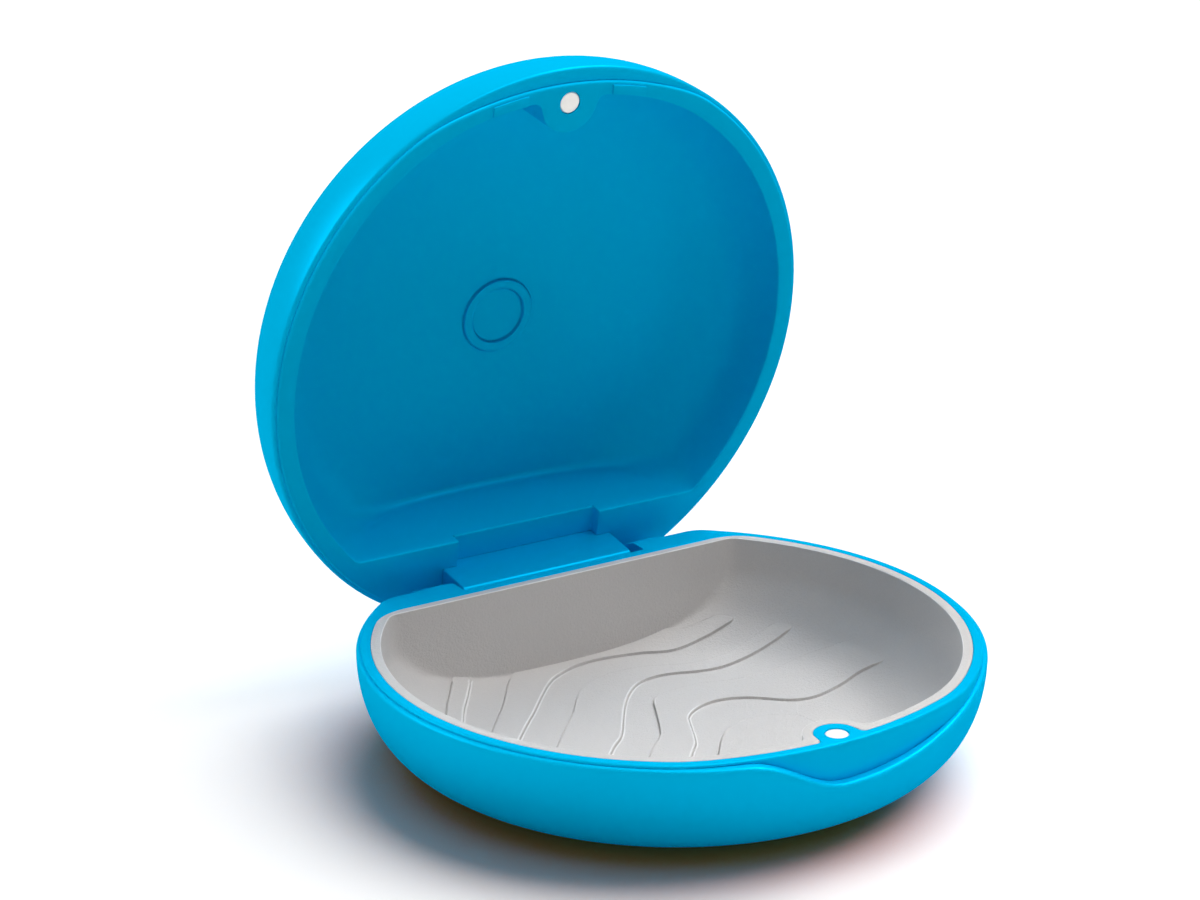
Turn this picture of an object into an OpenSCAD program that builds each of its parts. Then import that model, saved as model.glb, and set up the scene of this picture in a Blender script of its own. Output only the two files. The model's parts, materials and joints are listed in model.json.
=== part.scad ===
// Round clamshell case for an orthodontic retainer: an outer shell and an inner moulding
// in each half, a grey tray, a pair of disc magnets and a friction hinge at the back.
// Origin at the centre of the foot, +Z up, the front towards -Y, millimetres.

/* [Case] */
// Outer diameter of the case
case_d = 82; // [76:1:96]
// Height of the base, from the foot to its land
base_h = 15.6; // [14:0.1:22]
// Angle the lid stands open at
open_angle = 80; // [0:1:105]
// Gap between the two lands when the lid is shut
closing_gap = 0.25; // [0.1:0.05:0.6]
// How far the flat back is set in from the round outline
back_inset = 5; // [4.5:0.1:5.2]

/* [Shell section] */
// Wall of the two outer shells
shell_t = 1; // [0.8:0.1:1.4]
// Squareness of the section in plan
side_p = 6.8; // [5:0.1:9]
// Squareness of the section in height
side_q = 2.2; // [1.9:0.1:2.6]
// Diameter of the flat foot
foot_d = 50; // [34:1:58]
// Play between pieces that are pushed together
fit = 0.05; // [0.02:0.01:0.1]

/* [Lands] */
// How far each land stands proud of its shell's rim
rim_step = 0.4; // [0.3:0.05:0.8]
// Width of shell rim that shows outside the land
rim_w = 0.6; // [0.4:0.05:0.8]
// Width of the base land between its outer edge and the tray
land_w = 1.35; // [1.2:0.05:2]
// Width of the lid land between its outer edge and the cavity
lid_land_w = 2.55; // [2.2:0.05:4]
// Width of the lid land in the middle of the front
lid_front_w = 1.95; // [1.6:0.05:2.6]
// Radius of the flattened front of both lands
front_r = 52.5; // [46:0.5:70]
// How far the middle of that front is set back from the round outline
front_flat = 1.4; // [0.6:0.1:2]

/* [Thumb scoop] */
// Depth of the scoop below the land
scoop_depth = 4.8; // [2:0.1:6]
// Where the scoop starts, left of the middle
scoop_left = 14.5; // [10:0.5:18]
// Where it is deepest, left of the middle
scoop_low = 0.9; // [-3:0.1:3]
// Where its long rise ends, right of the middle
scoop_right = 37; // [20:0.5:37]

/* [Tray] */
// Width of the tray's rim
tray_wall = 1.3; // [1:0.05:1.8]
// Thickness of the tray's floor
tray_floor = 0.95; // [0.7:0.05:2]
// Thickness of the tray's flat back wall
tray_back_t = 1.1; // [0.8:0.05:2]
// From the hinge axis to the outside of that wall
tray_back = 6.15; // [5.9:0.05:8]

/* [Frame] */
// Thickness of the shelf that closes the frame under the hinge
shelf_t = 0.9; // [0.6:0.1:1.5]
// From the hinge axis to the back edge of the base land
land_back = 1.55; // [1:0.05:2]

/* [Lid liner] */
// Wall of the liner
liner_t = 1.2; // [0.8:0.1:1.5]
// Depth of the cavity above the lid land
cavity_h = 13.4; // [10:0.1:22]
// Room between the liner and the outer shell at the crown
crown_gap = 0.6; // [0.2:0.1:4]
// From the hinge axis to the flat back wall of the cavity
cavity_back = 6.85; // [6:0.05:9]
// Half width of the notch beside the knuckle
notch_half = 11.3; // [8:0.1:12.5]
// Depth of that notch
notch_d = 1.55; // [0.8:0.05:2]
// Depth of the two shallow pockets beside the magnet
relief_d = 0.35; // [0.2:0.05:0.6]
// Width of each pocket
relief_w = 5.2; // [3:0.1:7]
// From the middle of the case to the near side of each pocket
relief_x = 6.4; // [5.5:0.1:9]
// Land left outside each pocket
relief_edge = 0.6; // [0.4:0.1:1.2]

/* [Magnets] */
// Diameter of the disc magnets
magnet_d = 3; // [2:0.5:4]
// Thickness of the disc magnets
magnet_h = 2; // [1:0.5:2.5]
// How far a magnet lies below its land
magnet_sink = 0.1; // [0:0.05:0.3]
// From the front edge of the land to the magnet's axis
magnet_edge = 2.65; // [2.3:0.05:3.4]
// Land left round the magnet in the base
base_boss_w = 1.4; // [1:0.05:2]
// Land left round the magnet in the lid
lid_boss_w = 2.7; // [2:0.05:3.4]
// Floor under the magnet in the base
boss_floor = 1.2; // [0.8:0.1:2]

/* [Hinge] */
// From the hinge axis to the back of the round outline
hinge_inset = 7.65; // [7.4:0.05:8.5]
// From the base land down to the hinge axis
hinge_drop = 3.1; // [2.9:0.05:3.6]
// Radius of the knuckle
knuckle_r = 2.45; // [2.2:0.05:2.6]
// Length of the knuckle
knuckle_len = 27; // [24.5:0.1:28]
// Room between each end of the knuckle and its pocket
knuckle_gap = 1; // [0.3:0.1:1.2]
// Room round what swings with the lid
swing_gap = 0.35; // [0.3:0.05:0.6]
// From the front of the knuckle to the front of its pocket
pocket_front = 2.2; // [1:0.1:2.3]
// Flange at the root of the knuckle, behind the liner
root_flange = 1; // [0.6:0.1:1.5]
// Length of each ear of the frame
ear_len = 5; // [3:0.1:5.2]
// Diameter of the hinge pin
pin_d = 1.5; // [1:0.1:1.7]
// Wall of each friction bush
bush_wall = 0.7; // [0.5:0.05:0.8]
// Wall of each ear round its bush
ear_wall = 0.75; // [0.5:0.05:0.8]
// Running clearance between pin and bush, on the radius
pin_play = 0.03; // [0.02:0.01:0.06]
// Clearance between pin and knuckle, on the radius
pin_grip = 0.01; // [0.01:0.01:0.03]

/* [Hidden] */
$fn = 120;

// How far a cutting solid runs past what it cuts, and the points along a curve
over = 1;
steps = 20;
dome = 0;

// The case, its lands and its front
shell_r = case_d / 2;
foot_share = foot_d / case_d;
land_r = shell_r - rim_w;
land_front = land_r - front_flat;
front_centre = front_r - land_front;
back_y = shell_r - back_inset;
rim_z = base_h - rim_step;
lid_land_z = base_h + closing_gap;
lid_rim_z = lid_land_z + rim_step;
skirt_r = shell_r - shell_t - fit;
skirt_back = back_y - shell_t - fit;

// The hinge
hinge_y = shell_r - hinge_inset;
hinge_z = base_h - hinge_drop;
bush_r = pin_d / 2 + pin_play + bush_wall;
ear_r = bush_r + fit + ear_wall;
ear_in = knuckle_len / 2 + knuckle_gap;
ear_out = ear_in + ear_len;
knuckle_front = hinge_y - knuckle_r;
land_back_y = hinge_y - land_back;
// The lowest the corner of the lid reaches behind the axis, and the shelf below it
swing_r = norm([back_y - hinge_y, lid_rim_z - hinge_z]) + swing_gap;
shelf_z = hinge_z - sqrt(swing_r * swing_r - pow(back_y - hinge_y, 2));
frame_z = shelf_z - shelf_t;

// The tray and the cavity of the lid
tray_r = land_r - land_w;
tray_front_r = front_r - land_w;
tray_back_y = hinge_y - tray_back;
tray_depth = rim_z - shell_t - fit;
cavity_r = land_r - lid_land_w;
cavity_front_r = front_r - lid_front_w;
cavity_back_y = hinge_y - cavity_back;
lid_h = cavity_h + liner_t + crown_gap + shell_t;
plate_t = notch_d + liner_t;

// The magnets
magnet_y = magnet_edge - land_front;
magnet_seat = magnet_sink + magnet_h;
base_boss_r = magnet_d / 2 + base_boss_w;
lid_boss_r = magnet_d / 2 + lid_boss_w;

// Section of a bowl of radius r and depth h, flat inside a share of r
function bowl(r, h, share) =
    let (last = acos(pow(share, side_p / 2)), full = pow(sin(last), 2 / side_q))
    [for (i = [0 : steps]) let (t = last * i / steps)
        [r * pow(cos(t), 2 / side_p), -h * pow(sin(t), 2 / side_q) / full]];

// Share of the way from 0 to 1 along an S-curve
function ease(s) = (1 - cos(180 * s)) / 2;

// Height of the base shell's rim across the scoop
function scoop_z(x) =
    rim_z - (scoop_depth - rim_step) * (x < -scoop_low
        ? ease((x + scoop_left) / (scoop_left - scoop_low))
        : ease((scoop_right - x) / (scoop_right + scoop_low)));

// Everything in front of a plane across the case
module before(y) {
    translate([-case_d, -case_d, -case_d])
        cube([2 * case_d, case_d + y, 3 * case_d]);
}

// Everything between two heights
module between(z0, z1) {
    translate([-case_d, -case_d, z0])
        cube([2 * case_d, 2 * case_d, z1 - z0]);
}

// A bowl below the plane z = 0, with its wall carried straight up by rise
module bowl_solid(r, h, share, back, rise) {
    intersection() {
        rotate_extrude()
            polygon(concat([[0, rise], [r, rise]], bowl(r, h, share), share > 0 ? [[0, -h]] : []));
        before(back);
    }
}

// A dome above the plane z = 0
module dome_solid(r, h, back, rise) {
    mirror([0, 0, 1])
        bowl_solid(r, h, dome, back, rise);
}

// A disc with the flattened front of the lands
module front_disc(r, arc, back, z0, z1) {
    intersection() {
        translate([0, 0, z0])
            cylinder(r = r, h = z1 - z0);
        translate([0, front_centre, z0])
            cylinder(r = arc, h = z1 - z0);
        before(back);
    }
}

// What lies above the base shell's rim, the thumb scoop included
module above_rim() {
    left = [for (i = [0 : steps / 2]) -scoop_left + (scoop_left - scoop_low) * i * 2 / steps];
    right = [for (i = [1 : steps]) -scoop_low + (scoop_right + scoop_low) * i / steps];
    between(rim_z, base_h + over);
    rotate([90, 0, 0])
        linear_extrude(shell_r + over)
            polygon(concat([for (x = concat(left, right)) [x, scoop_z(x)]],
                           [[scoop_right, base_h + over], [-scoop_left, base_h + over]]));
}

// A straight rod along the hinge, from x0 to x1
module along_hinge(r, x0, x1) {
    translate([x0, hinge_y, hinge_z])
        rotate([0, 90, 0])
            cylinder(r = r, h = x1 - x0);
}

// The lid's pieces turn about the hinge
module opened() {
    translate([0, hinge_y, hinge_z])
        rotate([-open_angle, 0, 0])
            translate([0, -hinge_y, -hinge_z])
                children();
}

// Outside of the tray, larger all round by play
module tray_form(play) {
    intersection() {
        translate([0, 0, rim_z])
            bowl_solid(tray_r + play, tray_depth + play, foot_share, tray_back_y + play, rim_step + over);
        front_disc(tray_r + play, tray_front_r + play, tray_back_y + play, 0, base_h + over);
    }
}

// The boss that carries the base magnet, larger by play
module base_boss(play) {
    translate([0, magnet_y, base_h - magnet_seat - boss_floor - play])
        cylinder(r = base_boss_r + play, h = magnet_seat + boss_floor + play + over);
}

module base_outer_shell() {
    color([0.0, 0.58, 0.82])
    difference() {
        translate([0, 0, rim_z])
            bowl_solid(shell_r, rim_z, foot_share, back_y, 0);
        intersection() {
            translate([0, 0, rim_z])
                bowl_solid(shell_r - shell_t, rim_z - shell_t, foot_share, back_y - shell_t, over);
            front_disc(shell_r, front_r + fit, back_y, 0, base_h + over);
        }
        above_rim();
        translate([-case_d, land_back_y, shelf_z])
            cube([2 * case_d, case_d, case_d]);
    }
}

// One ear of the frame: a barrel with a slope from the land's back edge
module ear(x0, x1) {
    edge = [land_back_y, base_h];
    reach = norm([land_back, hinge_drop]);
    slope = asin(ear_r / reach) - atan2(hinge_drop, land_back);
    touch = edge + sqrt(reach * reach - ear_r * ear_r) * [cos(slope), sin(slope)];
    along_hinge(ear_r, x0, x1);
    translate([x0, 0, 0])
        rotate([90, 0, 90])
            linear_extrude(x1 - x0)
                polygon([edge - [over, 0], edge, touch, [hinge_y, hinge_z - ear_r],
                         [land_back_y - over, hinge_z - ear_r]]);
}

module base_frame() {
    color([0.0, 0.62, 0.86])
    difference() {
        union() {
            intersection() {
                front_disc(land_r, front_r, land_back_y, frame_z, base_h);
                translate([0, 0, fit])
                    above_rim();
            }
            difference() {
                intersection() {
                    translate([0, 0, rim_z])
                        bowl_solid(skirt_r, tray_depth, foot_share, land_back_y, rim_step);
                    front_disc(skirt_r, front_r, land_back_y, frame_z, base_h);
                }
                translate([0, 0, fit])
                    above_rim();
            }
            intersection() {
                translate([0, 0, rim_z])
                    bowl_solid(skirt_r, tray_depth, foot_share, skirt_back, 0);
                translate([-case_d, land_back_y - over, frame_z])
                    cube([2 * case_d, case_d, shelf_t]);
            }
            ear(ear_in, ear_out);
            ear(-ear_out, -ear_in);
        }
        difference() {
            tray_form(fit);
            base_boss(0);
        }
        translate([-ear_in, knuckle_front - pocket_front, hinge_z - knuckle_r - swing_gap])
            cube([2 * ear_in, case_d, case_d]);
        along_hinge(bush_r + fit, -ear_out - over, ear_out + over);
        translate([0, magnet_y, base_h - magnet_seat])
            cylinder(r = magnet_d / 2 + fit, h = magnet_seat + over);
    }
}

module tray_liner() {
    color([0.78, 0.78, 0.78])
    difference() {
        intersection() {
            tray_form(0);
            between(0, base_h);
        }
        difference() {
            intersection() {
                translate([0, 0, rim_z])
                    bowl_solid(tray_r - tray_wall, tray_depth - tray_floor, foot_share,
                               tray_back_y - tray_back_t, rim_step + over);
                front_disc(tray_r, tray_front_r - tray_wall, tray_back_y, 0, base_h + over);
            }
            translate([0, magnet_y, 0])
                cylinder(r = base_boss_r + fit + tray_wall, h = base_h + over);
        }
        base_boss(fit);
    }
}

module base_magnet() {
    color([0.92, 0.91, 0.89])
        translate([0, magnet_y, base_h - magnet_seat])
            cylinder(d = magnet_d, h = magnet_h);
}

module lid_outer_shell() {
    color([0.0, 0.62, 0.88])
    opened()
    translate([0, 0, lid_rim_z])
    difference() {
        dome_solid(shell_r, lid_h - rim_step, back_y, 0);
        intersection() {
            dome_solid(shell_r - shell_t, lid_h - rim_step - shell_t, back_y - shell_t, over);
            front_disc(shell_r, front_r + fit, back_y, -over, lid_h);
        }
    }
}

module lid_liner() {
    color([0.0, 0.52, 0.75])
    opened()
    difference() {
        union() {
            front_disc(land_r, front_r, back_y - rim_w, lid_land_z, lid_rim_z - fit);
            intersection() {
                translate([0, 0, lid_rim_z])
                    dome_solid(skirt_r, lid_h - rim_step - shell_t - fit, skirt_back, rim_step);
                front_disc(skirt_r, front_r, back_y, lid_rim_z - fit, lid_land_z + plate_t);
            }
            intersection() {
                translate([0, 0, lid_rim_z])
                    dome_solid(cavity_r + liner_t, cavity_h - rim_step + liner_t,
                               cavity_back_y + liner_t, 0);
                front_disc(land_r, front_r, back_y, lid_rim_z, lid_land_z + lid_h);
            }
        }
        difference() {
            intersection() {
                translate([0, 0, lid_rim_z])
                    dome_solid(cavity_r, cavity_h - rim_step, cavity_back_y, rim_step + over);
                front_disc(cavity_r, cavity_front_r, cavity_back_y, base_h - over, lid_land_z + lid_h);
            }
            translate([0, magnet_y, base_h])
                cylinder(r = lid_boss_r, h = lid_h);
        }
        translate([-notch_half, cavity_back_y - over, lid_land_z - over])
            cube([2 * notch_half, knuckle_front - cavity_back_y + over, over + notch_d]);
        translate([-knuckle_len / 2 - fit, knuckle_front - fit, lid_land_z - over])
            cube([knuckle_len + 2 * fit, case_d, plate_t + 2 * over]);
        for (side = [0, 1])
            mirror([side, 0, 0])
                intersection() {
                    translate([relief_x, -case_d, lid_land_z - over])
                        cube([relief_w, case_d, over + relief_d]);
                    translate([0, front_centre, lid_land_z - over])
                        cylinder(r = front_r - relief_edge, h = over + relief_d);
                }
        translate([0, magnet_y, lid_land_z - over])
            cylinder(r = magnet_d / 2 + fit, h = magnet_seat + over);
    }
}

module lid_magnet() {
    color([0.92, 0.91, 0.89])
    opened()
        translate([0, magnet_y, lid_land_z + magnet_sink])
            cylinder(d = magnet_d, h = magnet_h);
}

module hinge_block() {
    color([0.0, 0.56, 0.8])
    opened()
    difference() {
        root = knuckle_len / 2 + root_flange;
        union() {
            along_hinge(knuckle_r, -knuckle_len / 2, knuckle_len / 2);
            translate([-knuckle_len / 2, knuckle_front, hinge_z])
                cube([knuckle_len, skirt_back - knuckle_front, lid_land_z + plate_t + root_flange - hinge_z]);
            translate([-root, knuckle_front, lid_land_z + plate_t + fit])
                cube([2 * root, skirt_back - knuckle_front, root_flange - fit]);
        }
        along_hinge(pin_d / 2 + pin_grip, -knuckle_len, knuckle_len);
    }
}

module hinge_pin() {
    color([0.75, 0.76, 0.78])
        along_hinge(pin_d / 2, -ear_out, ear_out);
}

// A friction bush between two places along the hinge
module bush(x0, x1) {
    color([0.2, 0.2, 0.22])
    difference() {
        along_hinge(bush_r, x0, x1);
        along_hinge(pin_d / 2 + pin_play, x0 - over, x1 + over);
    }
}

module hinge_bush_left() {
    bush(-ear_out, -ear_in);
}

module hinge_bush_right() {
    bush(ear_in, ear_out);
}

base_outer_shell();
base_frame();
tray_liner();
base_magnet();
lid_outer_shell();
lid_liner();
lid_magnet();
hinge_block();
hinge_pin();
hinge_bush_left();
hinge_bush_right();
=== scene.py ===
import json
import math
import bpy
import numpy as np
from mathutils import Matrix, Vector
from mathutils.geometry import delaunay_2d_cdt


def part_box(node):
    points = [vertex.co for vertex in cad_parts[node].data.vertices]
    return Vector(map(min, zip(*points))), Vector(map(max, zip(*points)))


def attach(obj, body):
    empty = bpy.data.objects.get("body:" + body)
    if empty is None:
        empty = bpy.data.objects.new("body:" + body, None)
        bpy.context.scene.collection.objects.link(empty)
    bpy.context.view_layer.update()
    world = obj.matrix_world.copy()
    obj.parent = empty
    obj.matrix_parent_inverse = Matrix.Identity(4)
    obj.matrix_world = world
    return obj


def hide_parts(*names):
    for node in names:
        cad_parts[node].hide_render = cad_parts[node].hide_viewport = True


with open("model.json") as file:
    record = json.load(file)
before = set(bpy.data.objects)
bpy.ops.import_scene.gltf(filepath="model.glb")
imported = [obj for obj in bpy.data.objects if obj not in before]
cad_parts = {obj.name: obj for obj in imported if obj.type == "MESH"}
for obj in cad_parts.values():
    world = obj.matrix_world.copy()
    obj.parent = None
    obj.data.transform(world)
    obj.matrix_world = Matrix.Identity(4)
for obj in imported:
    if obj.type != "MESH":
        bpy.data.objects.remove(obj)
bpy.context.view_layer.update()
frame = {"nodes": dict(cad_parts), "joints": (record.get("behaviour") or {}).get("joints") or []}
mm = 0.001
scene = bpy.context.scene
print("frame loaded,", len(frame["nodes"]), "nodes")

# Sizes are in millimetres, in the closed position, until settle() opens the lid and goes to metres
shellTop = [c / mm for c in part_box("base_outer_shell")[1]]
magnetLow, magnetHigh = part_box("base_magnet")
lidJoint = frame["joints"][0]
hingeY, hingeZ = [c / mm for c in lidJoint["pos_m"][1:]]
hingeCentre = (0, hingeY, hingeZ)
openAngle = math.radians(-lidJoint["range_deg"][0])

case = {
    "radius": shellTop[0], "back": shellTop[1], "rim": shellTop[2],
    "land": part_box("base_frame")[1].z / mm, "powers": (6.8, 2.2), "foot": 25, "wall": 1.0, "fit": 0.05,
    "rimWidth": 0.6, "frontRadius": 52.5, "frontFlat": 1.4, "closingGap": 0.25,
}
rim, wall, fit = case["rim"], case["wall"], case["fit"]
overlap = 1  # how far joins and cuts run past each other
hair = 0.01  # keeps faces from coinciding
beyond = 60  # further out than any wall
unlimited = 99  # a radius so large that it cuts nothing away
fewest = 8  # points round the smallest loop
landRadius = case["radius"] - case["rimWidth"]
frontCentre = case["frontRadius"] - landRadius + case["frontFlat"]
rimStep = case["land"] - rim
lidLand = case["land"] + case["closingGap"]
footShare = case["foot"] / case["radius"]
magnetY = (magnetLow.y + magnetHigh.y) / 2 / mm
magnetRadius = (magnetHigh.x - magnetLow.x) / 2 / mm
# the inside of both outer shells, and the outside of what is pushed into them
innerRadius = case["radius"] - wall
innerFront = case["frontRadius"] + fit
innerBack = case["back"] - wall
skirtRadius = innerRadius - fit
skirtBack = innerBack - fit

# directions round the case, closer together by the magnets at the front
directions = {"count": 720, "fineCentre": -90, "fineSpan": 13, "fineStep": 0.2}
evenTurns = np.arange(directions["count"]) * 360 / directions["count"]
fineTurns = directions["fineCentre"] + np.arange(
    -directions["fineSpan"], directions["fineSpan"], directions["fineStep"])
turns = np.radians(np.unique(np.round(np.concatenate([evenTurns, fineTurns % 360]), 3)))
cosTurn, sinTurn = np.cos(turns), np.sin(turns)
outward = np.stack([cosTurn, sinTurn, 0 * cosTurn], axis=1)


def smoothMax(a, b, blend):
    near = np.maximum(blend - np.abs(a - b), 0) / blend
    return np.maximum(a, b) + near * near * blend / 4


def ease(value, start, stop):
    # a soft step from 0 at the start to 1 at the stop
    return (1 - np.cos(np.pi * np.clip((value - start) / (stop - start), 0, 1))) / 2


def fullDepth(flat, powers):
    # how much of a whole bowl's depth is left when its floor is flat inside that share
    return math.sqrt(1 - flat ** powers[0]) ** (2 / powers[1])


def bowlRadius(top, depth, drop, flat=0, powers=case["powers"]):
    sine = np.clip(drop / depth * fullDepth(flat, powers), 0, 1) ** (powers[1] / 2)
    return top * (1 - sine ** 2) ** (1 / powers[0])


def bowlDrops(depth, rows, flat=0, powers=case["powers"]):
    # drops below the rim at even steps along the bowl's section
    steps = np.linspace(0, math.acos(flat ** (powers[0] / 2)), rows)
    return depth * np.sin(steps) ** (2 / powers[1]) / fullDepth(flat, powers)


def planShape(radius, front, back, corner, boss=0, bossBlend=1.4, frontBlend=0.4):
    # a disc with a flattened front, a flat back and room left for a round boss
    def field(x, y):
        found = smoothMax(np.hypot(x, y) - radius, np.hypot(x, y - frontCentre) - front, frontBlend)
        found = smoothMax(found, y - back, corner)
        if boss:
            found = smoothMax(found, boss - np.hypot(x, y - magnetY), bossBlend)
        return found
    return field


def rootAlong(field, steps, far, halvings=42):
    # where each line out from the middle leaves the inside of a field
    low, high = np.zeros(len(steps)), np.full(len(steps), float(far))
    for _ in range(halvings):
        middle = (low + high) / 2
        inside = field(steps * middle[:, None]) < 0
        low, high = np.where(inside, middle, low), np.where(inside, high, middle)
    return steps * high[:, None]


def planRing(shape, inset, height):
    # the ring that lies inset inside a plan shape, at one height or at a height for each direction
    flat = rootAlong(lambda p: shape(p[:, 0], p[:, 1]) + inset, outward[:, :2], beyond)
    return np.column_stack([flat, np.broadcast_to(height, turns.size)])


def bowlRing(bowl, plan, drop, height, inset=0):
    # a ring of a bowl: its top radius, depth and flat share, and its plan's front, back and corners
    top, depth, flat = bowl
    return planRing(planShape(bowlRadius(top, depth, drop, flat), *plan), inset, height)


def rounding(radius, steps):
    # inset and rise along a quarter round, from the wall to the top
    angles = np.linspace(0, np.pi / 2, steps)
    return list(zip(radius * (1 - np.cos(angles)), radius * np.sin(angles)))


def edgeRings(shape, radius, foot, steps, side=1, up=1):
    # rings round an edge from the end of its wall: side is -1 for a hole, up is -1 for a lower edge
    return [planRing(shape, side * inset, foot + up * rise) for inset, rise in rounding(radius, steps)]


def loft(rings, startPole=None, endPole=None, loop=False):
    count = turns.size
    points = [p for ring in rings for p in ring]
    faces = []
    along = np.arange(count)
    after = (along + 1) % count
    for k in range(len(rings) if loop else len(rings) - 1):
        low, high = k * count, (k + 1) % len(rings) * count
        faces += np.stack([low + along, low + after, high + after, high + along], axis=1).tolist()
    if startPole is not None:
        points.append(startPole)
        faces += [(len(points) - 1, int(b), int(a)) for a, b in zip(along, after)]
    if endPole is not None:
        first = (len(rings) - 1) * count
        points.append(endPole)
        faces += [(first + int(a), first + int(b), len(points) - 1) for a, b in zip(along, after)]
    return points, faces


def newMesh(name, points, faces):
    mesh = bpy.data.meshes.new(name)
    mesh.from_pydata([tuple(map(float, p)) for p in points], [], faces)
    mesh.validate()
    piece = bpy.data.objects.new(name, mesh)
    scene.collection.objects.link(piece)
    return piece


def bake(piece):
    # a piece's modifiers become its mesh
    shown = piece.evaluated_get(bpy.context.evaluated_depsgraph_get())
    old = piece.data
    made = bpy.data.meshes.new_from_object(shown)
    piece.modifiers.clear()
    piece.data = made
    bpy.data.meshes.remove(old)


def softenEdges(piece, width, segments=3, angle=40):
    bevel = piece.modifiers.new("soften", "BEVEL")
    bevel.width, bevel.segments = width, segments
    bevel.limit_method, bevel.angle_limit = "ANGLE", math.radians(angle)
    bake(piece)
    return piece


def combine(piece, operation, *tools):
    for tool in tools:
        change = piece.modifiers.new("combine", "BOOLEAN")
        change.operation, change.object, change.solver = operation, tool, "EXACT"
        bake(piece)
        bpy.data.objects.remove(tool)


def prism(name, section, low, high, soft=0, segments=3, along=0):
    # a section drawn along x, y or z: it holds the two ways that come next in turn
    turn = sum(a[0] * b[1] - a[1] * b[0] for a, b in zip(section, section[1:] + section[:1]))
    if turn < 0:
        section = section[::-1]
    count = len(section)
    points = [np.roll((h, a, b), along) for h in (low, high) for a, b in section]
    faces = [(i, (i + 1) % count, count + (i + 1) % count, count + i) for i in range(count)]
    faces += [tuple(reversed(range(count))), tuple(range(count, 2 * count))]
    piece = newMesh(name, points, faces)
    return softenEdges(piece, soft, segments) if soft else piece


def block(name, low, high, soft=0, segments=3):
    section = [(low[1], low[2]), (low[1], high[2]), (high[1], high[2]), (high[1], low[2])]
    return prism(name, section, low[0], high[0], soft, segments)


def roundSection(centre, radius, start, stop, steps):
    return [(centre[0] + radius * math.cos(a), centre[1] + radius * math.sin(a))
            for a in np.radians(np.linspace(start, stop, steps))]


def edgeRound(corner, sides, radius, low, high, along, outside=0.1, steps=6):
    # the cutter that rounds a straight edge: sides say which way the solid lies from it
    section = [(-outside, -outside), (radius, -outside)]
    section += [(radius * (1 - math.sin(a)), radius * (1 - math.cos(a)))
                for a in np.linspace(0, np.pi / 2, steps)]
    section.append((-outside, radius))
    section = [(corner[0] + sides[0] * a, corner[1] + sides[1] * b) for a, b in section]
    return prism("edge_round", section, low, high, along=along)


def turnedPiece(name, section, place, alongX=False, tube=False, steps=64):
    # a section of radius and height, turned round the vertical or round the hinge
    around = np.linspace(0, 2 * np.pi, steps, endpoint=False)
    points, faces = [], []
    for radius, height in section:
        for a in around:
            spot = (radius * math.cos(a), radius * math.sin(a), height)
            points.append(np.add(spot[2:] + spot[:2] if alongX else spot, place))
    for k in range(len(section) if tube else len(section) - 1):
        first, second = k * steps, (k + 1) % len(section) * steps
        faces += [(first + i, first + (i + 1) % steps, second + (i + 1) % steps, second + i)
                  for i in range(steps)]
    if not tube:
        faces += [tuple(reversed(range(steps))), tuple(range(len(points) - steps, len(points)))]
    return newMesh(name, points, faces)


groups = {name: bpy.data.collections.new(name) for name in ("case", "base", "lining", "floor")}

# from millimetres to metres, and for the lid its turn about the hinge too
toMetres = Matrix.Scale(mm, 4)
pivot = Matrix.Translation(hingeCentre)
places = {
    "base": toMetres,
    "lid": toMetres @ pivot @ Matrix.Rotation(-openAngle, 4, "X") @ pivot.inverted(),
}


def settle(piece, body, finish, node, sharp=38):
    # its place, its shading, its finish, the lamps it meets and what it stands for
    mesh = piece.data
    mesh.transform(places[body])
    mesh.shade_smooth()
    mesh.set_sharp_from_angle(angle=math.radians(sharp))
    mesh.materials.clear()
    mesh.materials.append(finish)
    mesh.update()
    groups["case"].objects.link(piece)
    if body == "base":
        groups["base"].objects.link(piece)
    if node == "lid_liner":
        groups["lining"].objects.link(piece)
    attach(piece, body)
    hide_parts(node)
    print("piece", piece.name, "with", len(mesh.polygons), "faces")


# Finishes

class Value:
    # a socket that can be written in sums
    def __init__(self, finish, socket):
        self.finish, self.socket = finish, socket

    def maths(self, operation, first, second):
        return self.finish.node("ShaderNodeMath", {"operation": operation}, {0: first, 1: second})

    def __add__(self, other):
        return self.maths("ADD", self, other)

    def __sub__(self, other):
        return self.maths("SUBTRACT", self, other)

    def __rsub__(self, other):
        return self.maths("SUBTRACT", other, self)

    def __mul__(self, other):
        return self.maths("MULTIPLY", self, other)

    __radd__, __rmul__ = __add__, __mul__


class Finish:
    def __init__(self, name, tree=None):
        if tree is None:
            self.material = bpy.data.materials.new(name)
            self.material.use_nodes = True
            tree = self.material.node_tree
        self.tree = tree
        self.tree.nodes.clear()

    def node(self, kind, settings, values, output=0):
        made = self.tree.nodes.new(kind)
        for name, setting in settings.items():
            setattr(made, name, setting)
        for name, value in values.items():
            if isinstance(value, Value):
                self.tree.links.new(value.socket, made.inputs[name])
            else:
                made.inputs[name].default_value = value
        return Value(self, made.outputs[output]) if made.outputs else None

    def blend(self, factor, first, second):
        # a Mix node has its two colours at 6 and 7, and its mixed colour at 2
        return self.node("ShaderNodeMix", {"data_type": "RGBA"}, {"Factor": factor, 6: first, 7: second}, 2)

    def noise(self, place, scale, detail, roughness):
        return self.node("ShaderNodeTexNoise", {}, {
            "Vector": place, "Scale": scale, "Detail": detail, "Roughness": roughness})

    def bump(self, look, height):
        return self.node("ShaderNodeBump", {}, {
            "Strength": look["bump"], "Distance": look["bumpDepth"] * mm, "Height": height})


def rgb(red, green, blue):
    # a colour as a screen shows it, made linear
    shades = [c / 255 for c in (red, green, blue)]
    return tuple(c / 12.92 if c <= 0.04045 else ((c + 0.055) / 1.055) ** 2.4 for c in shades) + (1.0,)


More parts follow.
